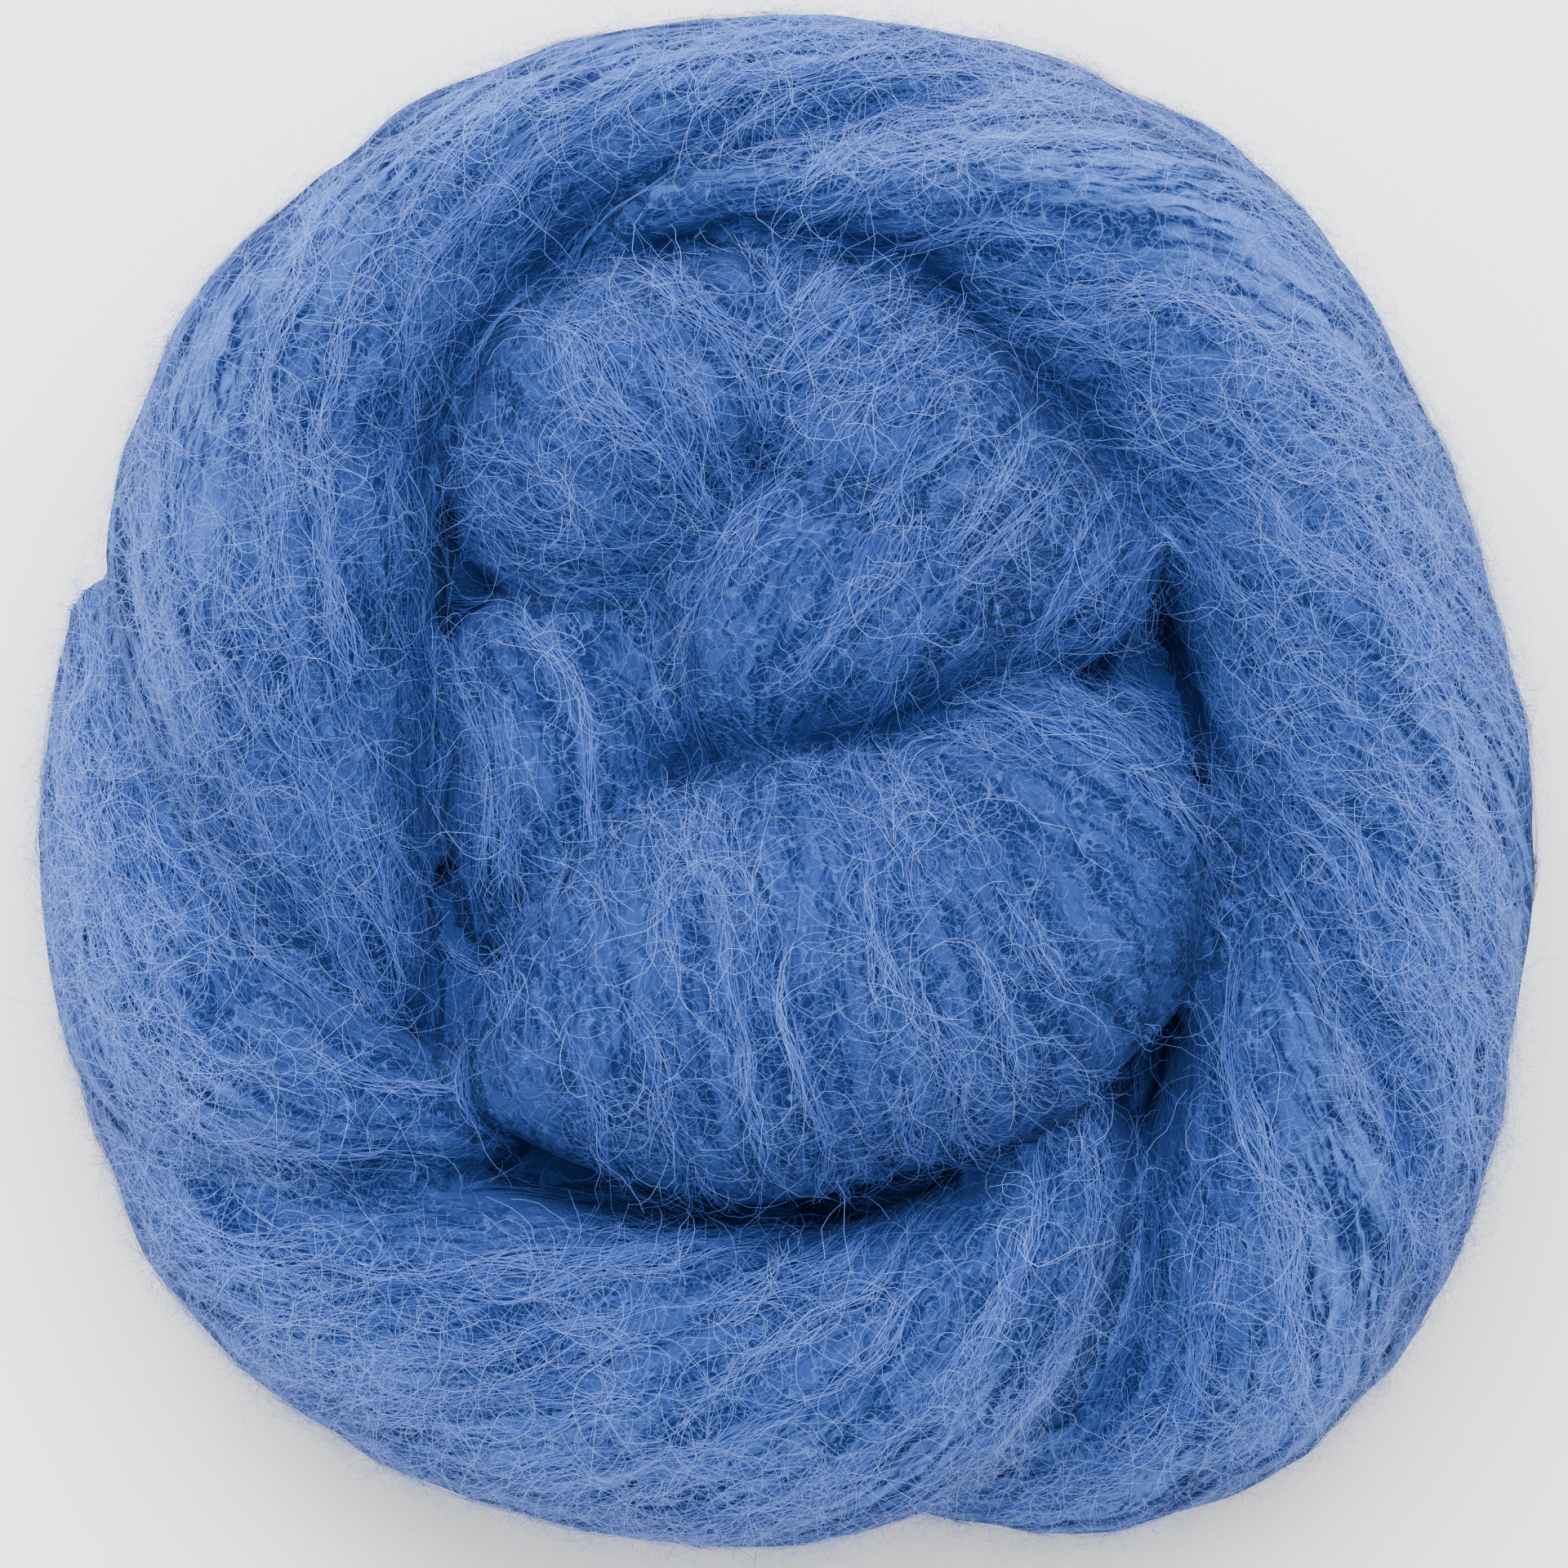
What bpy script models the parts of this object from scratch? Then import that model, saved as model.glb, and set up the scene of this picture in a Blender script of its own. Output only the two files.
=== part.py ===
# A skein of brushed lace yarn, twisted into a fat two-ply hank and coiled flat into a nest.
# Seen from above, +Y is the back of the nest and +X its right. It rests on z = 0.
# Sizes in the tables are millimetres, and the mesh is metres.

import math

import bmesh
import bpy
from mathutils import Vector

MM = 0.001

# The whole skein
YARN_BLUE = (0.090, 0.185, 0.560, 1.0)
PLY_SQUARENESS = 2.1  # 2 is an ellipse, and more is a ply squashed against its neighbours

# How finely the form is made
SECTION_POINTS = 28  # points round a ply
STEP_ALONG = 2.5  # between sections, along a ply
NOSE_STEPS = 5  # sections in the rounded end of a ply
NOSE_LENGTH = 0.65  # of a rounded end, as a share of the ply's half thickness
VOXEL = 0.9  # of the skin that joins the plies
SKIN_SMOOTHING = 0.5
SKIN_SMOOTHING_ROUNDS = 2
KEPT_SHARE = 0.052  # of the skin's faces

# What presses the underside flat: a block whose top is z = 0
FLOOR_WIDTH = 300
FLOOR_THICKNESS = 40

# The middle of the nest in the tables' own x and y, which the part has at its origin
NEST_MIDDLE = (0.37, 0.07)

# Each ply is a table of rows (x, y, z, across, high): the middle of the ply, half its width and
# half its height.

# The outer turn, from under the middle's top left, clockwise round the right and the front, under
# the front ply, up the left side, over the back, and down under its own start.
OUTER_TURN = (
    (-21, 39, 18, 4.5, 9),
    (-8, 48, 28.3, 4.6, 12.3),
    (4, 49.2, 29.8, 6, 13.6),
    (14, 48.8, 30.3, 8.2, 14),
    (20.8, 47.1, 30.5, 10.2, 14.3),
    (27.2, 43.5, 30.5, 12.1, 14.6),
    (34.4, 38.1, 30.5, 13.2, 14.8),
    (41.8, 26.9, 30.5, 13.1, 15),
    (46.6, 13.9, 30.3, 13.4, 15),
    (49.7, 1, 30, 13.3, 15),
    (52, -14, 29.5, 10.8, 14.5),
    (54.3, -27, 27, 6.5, 13.5),
    (52, -38, 21, 6, 12),
    (44, -46, 15, 9, 12.5),
    (30, -50.5, 12, 10.5, 14),
    (10, -50, 12, 11.5, 14),
    (-10, -48, 12, 12, 14),
    (-25, -42, 12, 12, 14),
    (-33, -32, 13.5, 11, 14),
    (-34, -21.5, 19, 7.5, 12),
    (-34.7, -13, 25, 6.4, 13),
    (-38, -4, 28.5, 9.4, 14),
    (-40.8, 6, 30, 12.7, 14.5),
    (-42.2, 17, 30.3, 14, 14.8),
    (-40.2, 30.2, 30.3, 12.8, 14.8),
    (-32.5, 42.5, 30, 10.7, 14.5),
    (-22, 51, 30, 9, 14),
    (-9.5, 55.8, 29.8, 7.6, 13.8),
    (4, 57.2, 29, 7, 13.5),
    (15, 57.2, 25.5, 5.5, 13),
    (25, 53, 20, 7.5, 13),
    (35, 43, 14, 11, 13.5),
    (41.5, 29.5, 12, 12.5, 14),
    (44.5, 14, 12, 13, 14),
    (44.5, -2, 12, 13.3, 14),
    (41, -18, 12, 13.5, 14),
    (34, -33, 12, 13, 14),
)

# The front turn, from under the big middle lobe, round the front and the left, then under the
# left and the back into the middle.
FRONT_TURN = (
    (23, -17, 17, 6, 9),
    (24.3, -28, 23.5, 5, 12),
    (22.2, -36.6, 27.8, 7.9, 13.8),
    (17, -43.2, 29.8, 10.9, 14.5),
    (9.3, -48.4, 30.3, 12.9, 14.8),
    (-1.5, -50.4, 30.3, 13.8, 15),
    (-15, -48.9, 30, 13.7, 15),
    (-30, -44.9, 29.3, 12.5, 14.8),
    (-41, -39.5, 27, 9.5, 14),
    (-48.5, -32, 23, 7.5, 13),
    (-50.5, -20, 17, 10, 13),
    (-49, -4, 12.5, 12, 14),
    (-45.5, 12, 12, 13, 14),
    (-38.5, 27, 12, 13.5, 14),
    (-27, 39, 12, 13.5, 14),
    (-12, 45.5, 12, 13, 14),
    (4, 46, 12, 13, 14),
    (19, 38, 12, 12.5, 14),
    (27, 25, 12, 11, 14),
)

# The fan where the left side turns the corner, pinched at the middle.
CORNER_FAN = (
    (-26, -28.5, 24, 3, 7),
    (-31.5, -27.7, 28.5, 6.5, 12),
    (-38.8, -26, 30.3, 10, 14),
    (-47, -21, 29.5, 11.5, 14.3),
    (-52, -11, 26.5, 9.3, 13.5),
    (-55.5, 1, 21.5, 6.5, 12.5),
    (-55.5, 12, 16.5, 5, 11),
)

# The slack half of the outer turn at the front right, which slides under the front turn.
RIGHT_FAN = (
    (38, -4, 26, 2.4, 7),
    (40.5, -12, 29, 4.5, 12),
    (41, -20, 30, 7.6, 14),
    (42, -29, 29, 11.3, 14.3),
    (41.8, -38.5, 27, 12.7, 14.3),
    (37, -48.5, 22.5, 11, 14),
    (27, -54.6, 17, 8.8, 13.5),
    (14, -54.3, 13.5, 8.8, 12.5),
)

# The middle, where the hank's end is folded back on itself.
BIG_LOBE = (
    (-21, -23.7, 33, 5.5, 9),
    (-17, -22, 35.5, 10.8, 12.5),
    (-8.8, -19.1, 37.6, 16.2, 15),
    (2, -16.5, 38.5, 18.1, 15.9),
    (13.2, -13.8, 38.7, 17.5, 16),
    (20.4, -8.9, 38, 16.5, 15.8),
    (25.3, -3.3, 36, 13.9, 15.2),
)
END_FOLD = (
    (-16.2, 22, 32.4, 10.8, 12.6),
    (-15, 26.6, 34.4, 12.2, 13.6),
    (-11.4, 30.8, 35, 12.6, 14.5),
    (-6.5, 34.2, 34.6, 10.3, 14.3),
    (-1.2, 38.8, 32.6, 5.4, 13),
    (4.2, 34.2, 34, 9.6, 14),
    (8, 29.8, 35.3, 10.8, 14.6),
    (12.2, 25.4, 36, 11.1, 14.8),
    (18, 19, 35.5, 10.8, 14.5),
)
SECOND_LOBE = (
    (-2.8, 6.6, 30, 6, 11),
    (-0.1, 12.6, 34, 11.6, 14),
    (8.3, 16.7, 36, 12.2, 14.8),
    (18, 18.3, 35.5, 10.5, 14.5),
    (25, 17, 33, 7.8, 12.5),
)
SMALL_LOBE = (
    (-17.9, 9.6, 31.6, 10.1, 11.4),
    (-17.5, 3, 32.6, 10.1, 11.4),
    (-18.9, -3.5, 30.4, 9, 10.8),
    (-20.8, -8.4, 26.5, 5.6, 9),
)

# The plies under the middle, which show from below and at the bottom of the gaps.
UNDER_LOBES = (
    ((-26, 20, 15, 11, 15.5), (-8, 14, 15, 13, 15.5), (10, 2, 15, 13, 15.5), (28, -15, 15, 11, 15.5)),
    ((-12, 34, 15, 9, 15.5), (2, 26, 15, 11, 15.5), (20, 13, 15, 12, 15.5), (31, 2, 15, 9, 15.5)),
    ((-31, 5, 15, 10, 15.5), (-15, -7, 15, 12, 15.5), (2, -20, 15, 12, 15.5), (16, -34, 15, 10, 15.5)),
    ((-30, -11, 15, 9, 15), (-25, -22, 15, 9, 15), (-18, -32, 15, 10.5, 15), (-2, -38, 15, 9, 15)),
)

PLIES = (
    OUTER_TURN,
    FRONT_TURN,
    CORNER_FAN,
    RIGHT_FAN,
    BIG_LOBE,
    END_FOLD,
    SECOND_LOBE,
    SMALL_LOBE,
) + UNDER_LOBES


def remove_startup_objects():
    for obj in list(bpy.data.objects):
        bpy.data.objects.remove(obj, do_unlink=True)


def smooth_between(before, start, end, after, share):
    """A row of the table between start and end, on a smooth curve through all four rows."""
    row = []
    for p0, p1, p2, p3 in zip(before, start, end, after):
        pull_start = (p2 - p0) / 2
        pull_end = (p3 - p1) / 2
        cube = 2 * (p1 - p2) + pull_start + pull_end
        square = 3 * (p2 - p1) - 2 * pull_start - pull_end
        row.append(((cube * share + square) * share + pull_start) * share + p1)
    return tuple(row)


def rows_along(table):
    """The table's rows with smooth rows between them, about STEP_ALONG apart."""
    rows = []
    last = len(table) - 1
    for i in range(last):
        before = table[max(i - 1, 0)]
        after = table[min(i + 2, last)]
        gap = (Vector(table[i + 1][:3]) - Vector(table[i][:3])).length
        steps = max(1, round(gap / STEP_ALONG))
        for step in range(steps):
            rows.append(smooth_between(before, table[i], table[i + 1], after, step / steps))
    rows.append(tuple(float(value) for value in table[last]))
    return rows


def with_rounded_ends(rows):
    """The rows with a dome of smaller rows past each end."""
    def nose(end, inner):
        middle = Vector(end[:3])
        outward = (middle - Vector(inner[:3])).normalized()
        across, high = end[3:]
        length = NOSE_LENGTH * min(across, high)
        dome = []
        for step in range(1, NOSE_STEPS + 1):
            angle = math.pi * step / (2 * NOSE_STEPS + 1)
            place = middle + outward * length * math.sin(angle)
            shrink = math.cos(angle)
            dome.append((*place, across * shrink, high * shrink))
        return dome

    return nose(rows[0], rows[1])[::-1] + rows + nose(rows[-1], rows[-2])


def section_offset(angle, across, high):
    """A point of a ply's squashed round section, sideways and upwards."""
    power = 2 / PLY_SQUARENESS
    side = math.copysign(abs(math.cos(angle)) ** power, math.cos(angle))
    rise = math.copysign(abs(math.sin(angle)) ** power, math.sin(angle))
    return side * across, rise * high


def add_ply(mesh, table):
    """Adds one ply to the mesh as a closed tube along its table."""
    middle = Vector((*NEST_MIDDLE, 0))
    rows = with_rounded_ends(rows_along(table))
    rings = []
    for i, row in enumerate(rows):
        ahead = Vector(rows[min(i + 1, len(rows) - 1)][:3])
        behind = Vector(rows[max(i - 1, 0)][:3])
        along = (ahead - behind).normalized()
        sideways = along.cross(Vector((0, 0, 1))).normalized()
        upwards = sideways.cross(along)
        ring = []
        for k in range(SECTION_POINTS):
            side, rise = section_offset(2 * math.pi * k / SECTION_POINTS, row[3], row[4])
            place = Vector(row[:3]) + sideways * side + upwards * rise - middle
            ring.append(mesh.verts.new(place * MM))
        rings.append(ring)
    for ring, following in zip(rings, rings[1:]):
        for k in range(SECTION_POINTS):
            nxt = (k + 1) % SECTION_POINTS
            mesh.faces.new((ring[k], ring[nxt], following[nxt], following[k]))
    mesh.faces.new(rings[0][::-1])
    mesh.faces.new(rings[-1])


def yarn_material():
    material = bpy.data.materials.new("blue yarn")
    material.use_nodes = True
    shader = material.node_tree.nodes["Principled BSDF"]
    shader.inputs["Base Color"].default_value = YARN_BLUE
    shader.inputs["Roughness"].default_value = 0.95
    shader.inputs["Metallic"].default_value = 0.0
    return material


def floor_cutter():
    """The block under z = 0 that takes off what the skein's weight presses flat."""
    block = bmesh.new()
    bmesh.ops.create_cube(block, size=1.0)
    size = Vector((FLOOR_WIDTH, FLOOR_WIDTH, FLOOR_THICKNESS)) * MM
    bmesh.ops.scale(block, verts=block.verts, vec=size)
    bmesh.ops.translate(block, verts=block.verts, vec=(0, 0, -size.z / 2))
    data = bpy.data.meshes.new("floor_cutter")
    block.to_mesh(data)
    block.free()
    cutter = bpy.data.objects.new("floor_cutter", data)
    cutter.hide_render = True
    cutter.display_type = "WIRE"
    bpy.context.scene.collection.objects.link(cutter)
    return cutter


def skein():
    """The plies under one skin, as one solid that lies flat on the floor."""
    mesh = bmesh.new()
    for table in PLIES:
        add_ply(mesh, table)
    bmesh.ops.recalc_face_normals(mesh, faces=mesh.faces)
    data = bpy.data.meshes.new("skein")
    mesh.to_mesh(data)
    mesh.free()
    data.materials.append(yarn_material())
    obj = bpy.data.objects.new("skein", data)
    bpy.context.scene.collection.objects.link(obj)

    skin = obj.modifiers.new("One skin", "REMESH")
    skin.mode = "VOXEL"
    skin.voxel_size = VOXEL * MM
    skin.use_smooth_shade = True
    soften = obj.modifiers.new("Soften", "SMOOTH")
    soften.factor = SKIN_SMOOTHING
    soften.iterations = SKIN_SMOOTHING_ROUNDS
    fewer = obj.modifiers.new("Fewer faces", "DECIMATE")
    fewer.ratio = KEPT_SHARE
    flat = obj.modifiers.new("Flat underside", "BOOLEAN")
    flat.operation = "DIFFERENCE"
    flat.solver = "EXACT"
    flat.object = floor_cutter()
    return obj


def main():
    remove_startup_objects()
    skein()


main()
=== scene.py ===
import math

import bpy
import numpy as np
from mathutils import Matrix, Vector, noise
from mathutils.bvhtree import BVHTree
from mathutils.kdtree import KDTree


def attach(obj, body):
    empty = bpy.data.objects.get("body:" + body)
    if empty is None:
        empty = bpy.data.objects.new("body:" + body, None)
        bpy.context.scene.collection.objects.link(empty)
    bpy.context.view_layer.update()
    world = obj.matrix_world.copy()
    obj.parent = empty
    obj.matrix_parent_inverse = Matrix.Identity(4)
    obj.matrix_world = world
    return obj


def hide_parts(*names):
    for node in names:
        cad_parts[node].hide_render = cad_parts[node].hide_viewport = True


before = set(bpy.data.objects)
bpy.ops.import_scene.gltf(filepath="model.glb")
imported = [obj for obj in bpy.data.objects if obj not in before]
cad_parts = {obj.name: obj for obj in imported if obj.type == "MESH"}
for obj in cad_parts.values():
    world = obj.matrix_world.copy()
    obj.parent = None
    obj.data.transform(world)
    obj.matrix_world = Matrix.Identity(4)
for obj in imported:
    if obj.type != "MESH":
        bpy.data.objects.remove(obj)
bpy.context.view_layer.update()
MM = 0.001

# The camera. The skein was photographed from straight above with a long lens, so the camera looks
# down on it with +Y at the top of the picture. The picture is 131.5 mm wide at the height where
# the skein is broadest.
PICTURE_WIDTH = 0.1315
BROADEST_HEIGHT = 0.029
CAMERA_HEIGHT = 0.9
PICTURE_MIDDLE = (0.0002, -0.0003)
SENSOR_WIDTH = 36.0

lens = bpy.data.cameras.new("overhead camera")
lens.sensor_width = SENSOR_WIDTH
lens.lens = SENSOR_WIDTH * (CAMERA_HEIGHT - BROADEST_HEIGHT) / PICTURE_WIDTH
lens.clip_start = 0.01
lens.clip_end = 10.0
camera = bpy.data.objects.new("overhead camera", lens)
camera.location = (*PICTURE_MIDDLE, CAMERA_HEIGHT)
bpy.context.scene.collection.objects.link(camera)
bpy.context.scene.camera = camera

# The wound hank. About 400 m of fine brushed yarn in long loops, twisted until they fold into two
# fat plies, coiled flat into a nest, and held only by the end that is tucked into the middle.
# This is its felted surface, matted with fine hair, with painted shade in the gaps between the
# strands and in the folds, and painted rim light on the coil's outer shoulder.
STEP_ALONG_PLY = 2.0  # mm between sections
SECTION_POINTS = 36
PLY_SQUARENESS = 2.1  # 2 is an ellipse, and more is a ply squashed against its neighbours
NOSE_STEPS = 5
NOSE_LENGTH = 0.65  # as a share of the ply's half thickness
NEST_MIDDLE = (0.37, 0.07)  # mm, in the tables' own x and y
SKIN_VOXEL = 0.9  # mm
SMOOTHING_ROUNDS = 2
FELT_KEPT_SHARE = 0.6  # of the skin's faces
PLY_PATTERN_GAP = 10.0  # between the patterns of one ply and the next
GRAIN_NEIGHBOURS = 3  # points of the tubes that a point of the felt takes its grain from
GRAIN_BLEND = 0.05  # mm
LUMPS = ((12.0, 0.9), (5.0, 0.45))  # mm long and mm high: the loft of brushed yarn is uneven
FELT_SHRINK = 0.10  # mm that the strands stand on
FELT_GAP_SHADE = (0.003, 0.009, 0.052, 1.0)  # painted shade in the grooves between the strands
FELT_FOLD_SHADE = (0.012, 0.028, 0.130, 1.0)  # painted shade in the folds
FELT_BLUE = (0.015, 0.036, 0.155, 1.0)  # the yarn itself
FELT_HAIR = (0.050, 0.108, 0.365, 1.0)  # the hairs matted into it
FELT_RIM_LIGHT = (0.062, 0.132, 0.420, 1.0)  # painted rim light: the coil's outer shoulder painted paler

# Each ply has rows of (x, y, z, across, high) in mm, and the lay of its fibres in degrees from
# the ply's own direction, at its start and at its end.
PLIES = {
    "outer turn": ((26, 26), (
        (-21, 39, 18, 4.5, 9),
        (-8, 48, 28.3, 4.6, 12.3),
        (4, 49.2, 29.8, 6, 13.6),
        (14, 48.8, 30.3, 8.2, 14),
        (20.8, 47.1, 30.5, 10.2, 14.3),
        (27.2, 43.5, 30.5, 12.1, 14.6),
        (34.4, 38.1, 30.5, 13.2, 14.8),
        (41.8, 26.9, 30.5, 13.1, 15),
        (46.6, 13.9, 30.3, 13.4, 15),
        (49.7, 1, 30, 13.3, 15),
        (52, -14, 29.5, 10.8, 14.5),
        (54.3, -27, 27, 6.5, 13.5),
        (52, -38, 21, 6, 12),
        (44, -46, 15, 9, 12.5),
        (30, -50.5, 12, 10.5, 14),
        (10, -50, 12, 11.5, 14),
        (-10, -48, 12, 12, 14),
        (-25, -42, 12, 12, 14),
        (-33, -32, 13.5, 11, 14),
    )),
    "left side": ((8, 22), (
        (-33, -32, 13.5, 11, 14),
        (-34, -21.5, 19, 7.5, 12),
        (-34.7, -13, 25, 6.4, 13),
        (-38, -4, 28.5, 9.4, 14),
        (-40.8, 6, 30, 12.7, 14.5),
        (-42.2, 17, 30.3, 14, 14.8),
        (-40.2, 30.2, 30.3, 12.8, 14.8),
        (-32.5, 42.5, 30, 10.7, 14.5),
        (-22, 51, 30, 9, 14),
        (-9.5, 55.8, 29.8, 7.6, 13.8),
        (4, 57.2, 29, 7, 13.5),
        (15, 57.2, 25.5, 5.5, 13),
        (25, 53, 20, 7.5, 13),
        (35, 43, 14, 11, 13.5),
        (41.5, 29.5, 12, 12.5, 14),
        (44.5, 14, 12, 13, 14),
        (44.5, -2, 12, 13.3, 14),
        (41, -18, 12, 13.5, 14),
        (34, -33, 12, 13, 14),
    )),
    "front turn": ((24, 24), (
        (23, -17, 17, 6, 9),
        (24.3, -28, 23.5, 5, 12),
        (22.2, -36.6, 27.8, 7.9, 13.8),
        (17, -43.2, 29.8, 10.9, 14.5),
        (9.3, -48.4, 30.3, 12.9, 14.8),
        (-1.5, -50.4, 30.3, 13.8, 15),
        (-15, -48.9, 30, 13.7, 15),
        (-30, -44.9, 29.3, 12.5, 14.8),
        (-41, -39.5, 27, 9.5, 14),
        (-48.5, -32, 23, 7.5, 13),
        (-50.5, -20, 17, 10, 13),
        (-49, -4, 12.5, 12, 14),
        (-45.5, 12, 12, 13, 14),
        (-38.5, 27, 12, 13.5, 14),
        (-27, 39, 12, 13.5, 14),
        (-12, 45.5, 12, 13, 14),
        (4, 46, 12, 13, 14),
        (19, 38, 12, 12.5, 14),
        (27, 25, 12, 11, 14),
    )),
    "corner fan": ((0, 10), (
        (-26, -28.5, 24, 3, 7),
        (-31.5, -27.7, 28.5, 6.5, 12),
        (-38.8, -26, 30.3, 10, 14),
        (-47, -21, 29.5, 11.5, 14.3),
        (-52, -11, 26.5, 9.3, 13.5),
        (-55.5, 1, 21.5, 6.5, 12.5),
        (-55.5, 12, 16.5, 5, 11),
    )),
    "right fan": ((18, 24), (
        (38, -4, 26, 2.4, 7),
        (40.5, -12, 29, 4.5, 12),
        (41, -20, 30, 7.6, 14),
        (42, -29, 29, 11.3, 14.3),
        (41.8, -38.5, 27, 12.7, 14.3),
        (37, -48.5, 22.5, 11, 14),
        (27, -54.6, 17, 8.8, 13.5),
        (14, -54.3, 13.5, 8.8, 12.5),
    )),
    "big lobe": ((84, 92), (
        (-21, -23.7, 33, 5.5, 9),
        (-17, -22, 35.5, 10.8, 12.5),
        (-8.8, -19.1, 37.6, 16.2, 15),
        (2, -16.5, 38.5, 18.1, 15.9),
        (13.2, -13.8, 38.7, 17.5, 16),
        (20.4, -8.9, 38, 16.5, 15.8),
        (25.3, -3.3, 36, 13.9, 15.2),
    )),
    "end fold": ((85, 100), (
        (-16.2, 22, 32.4, 10.8, 12.6),
        (-15, 26.6, 34.4, 12.2, 13.6),
        (-11.4, 30.8, 35, 12.6, 14.5),
        (-6.5, 34.2, 34.6, 10.3, 14.3),
        (-1.2, 38.8, 32.6, 5.4, 13),
        (4.2, 34.2, 34, 9.6, 14),
        (8, 29.8, 35.3, 10.8, 14.6),
        (12.2, 25.4, 36, 11.1, 14.8),
        (18, 19, 35.5, 10.8, 14.5),
    )),
    "second lobe": ((15, 80), (
        (-2.8, 6.6, 30, 6, 11),
        (-0.1, 12.6, 34, 11.6, 14),
        (8.3, 16.7, 36, 12.2, 14.8),
        (18, 18.3, 35.5, 10.5, 14.5),
        (25, 17, 33, 7.8, 12.5),
    )),
    "small lobe": ((28, 28), (
        (-17.9, 9.6, 31.6, 10.1, 11.4),
        (-17.5, 3, 32.6, 10.1, 11.4),
        (-18.9, -3.5, 30.4, 9, 10.8),
        (-20.8, -8.4, 26.5, 5.6, 9),
    )),
    "under one": ((25, 25), (
        (-26, 20, 15, 11, 15.5),
        (-8, 14, 15, 13, 15.5),
        (10, 2, 15, 13, 15.5),
        (28, -15, 15, 11, 15.5),
    )),
    "under two": ((25, 25), (
        (-12, 34, 15, 9, 15.5),
        (2, 26, 15, 11, 15.5),
        (20, 13, 15, 12, 15.5),
        (31, 2, 15, 9, 15.5),
    )),
    "under three": ((25, 25), (
        (-31, 5, 15, 10, 15.5),
        (-15, -7, 15, 12, 15.5),
        (2, -20, 15, 12, 15.5),
        (16, -34, 15, 10, 15.5),
    )),
    "under four": ((25, 25), (
        (-30, -11, 15, 9, 15),
        (-25, -22, 15, 9, 15),
        (-18, -32, 15, 10.5, 15),
        (-2, -38, 15, 9, 15),
    )),
}


def rows_along(table):
    """The table's rows with smooth rows between them, about STEP_ALONG_PLY apart."""
    knots = np.array(table, dtype=float)
    padded = np.vstack((knots[:1], knots, knots[-1:]))
    rows = []
    for before, start, end, after in zip(padded, padded[1:], padded[2:], padded[3:]):
        gap = np.linalg.norm(end[:3] - start[:3])
        steps = max(1, round(gap / STEP_ALONG_PLY))
        share = np.arange(steps)[:, None] / steps
        pull_start = (end - before) / 2
        pull_end = (after - start) / 2
        cube = 2 * (start - end) + pull_start + pull_end
        square = 3 * (end - start) - 2 * pull_start - pull_end
        rows.append(((cube * share + square) * share + pull_start) * share + start)
    rows.append(knots[-1:])
    return np.vstack(rows)


def nose(end, inner):
    """Rows of a dome past one end of a ply."""
    outward = end[:3] - inner[:3]
    outward /= np.linalg.norm(outward)
    angle = np.pi * np.arange(1, NOSE_STEPS + 1) / (2 * NOSE_STEPS + 1)
    reach = NOSE_LENGTH * min(end[3:]) * np.sin(angle)
    places = end[:3] + outward * reach[:, None]
    return np.hstack((places, end[3:] * np.cos(angle)[:, None]))


tube_angles = 2 * np.pi * np.arange(SECTION_POINTS) / SECTION_POINTS


class Ply:
    """One ply of the hank: a closed tube that a place along it and an angle round it find."""

    def __init__(self, number, lay, table):
        self.number = number
        body = rows_along(table)
        rows = np.vstack((nose(body[0], body[1])[::-1], body, nose(body[-1], body[-2])))
        rows[:, :2] -= NEST_MIDDLE
        self.middle = rows[:, :3]
        self.across = rows[:, 3]
        self.high = rows[:, 4]
        along = np.gradient(self.middle, axis=0)
        along /= np.linalg.norm(along, axis=1)[:, None]
        self.sideways = np.cross(along, (0, 0, 1))
        self.sideways /= np.linalg.norm(self.sideways, axis=1)[:, None]
        self.upwards = np.cross(self.sideways, along)
        steps = np.linalg.norm(np.diff(self.middle, axis=0), axis=1)
        self.place = np.concatenate(((0.0,), np.cumsum(steps)))
        self.length = self.place[-1]
        self.lay = lay

    def at(self, place, values):
        """The values kept for each row, at these places along the ply."""
        if values.ndim == 1:
            return np.interp(place, self.place, values)
        return np.stack([np.interp(place, self.place, column) for column in values.T], axis=-1)

    def points(self, place, angle):
        """Points on the ply's surface, in mm."""
        power = 2 / PLY_SQUARENESS
        side = np.sign(np.cos(angle)) * np.abs(np.cos(angle)) ** power
        rise = np.sign(np.sin(angle)) * np.abs(np.sin(angle)) ** power
        side = (side * self.at(place, self.across))[..., None] * self.at(place, self.sideways)
        rise = (rise * self.at(place, self.high))[..., None] * self.at(place, self.upwards)
        return self.at(place, self.middle) + side + rise

    def grain(self):
        """For each point of the tube: mm across its fibres, mm along them, and the ply's pattern."""
        place, angle = np.meshgrid(self.place, tube_angles, indexing="ij")
        radius = np.mean(self.across + self.high) / 2
        round_ply = radius * ((angle + np.pi / 2) % (2 * np.pi) - np.pi)
        lay = np.radians(np.interp(place / self.length, (0, 1), self.lay))
        ahead = place - self.length / 2
        across = np.cos(lay) * round_ply - np.sin(lay) * ahead
        along = np.cos(lay) * ahead + np.sin(lay) * round_ply
        pattern = np.full_like(across, PLY_PATTERN_GAP * self.number)
        return np.stack((across, along, pattern), axis=-1).reshape(-1, 3)


def mesh_object(name, verts, edges=(), faces=()):
    """A new object of these vertices in mm."""
    data = bpy.data.meshes.new(name)
    data.from_pydata((np.asarray(verts) * MM).tolist(), edges, faces)
    made = bpy.data.objects.new(name, data)
    bpy.context.scene.collection.objects.link(made)
    return made


def plain_mesh(made):
    """Turns the object's modifiers into its mesh."""
    graph = bpy.context.evaluated_depsgraph_get()
    finished = bpy.data.meshes.new_from_object(made.evaluated_get(graph))
    made.modifiers.clear()
    made.data = finished


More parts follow.
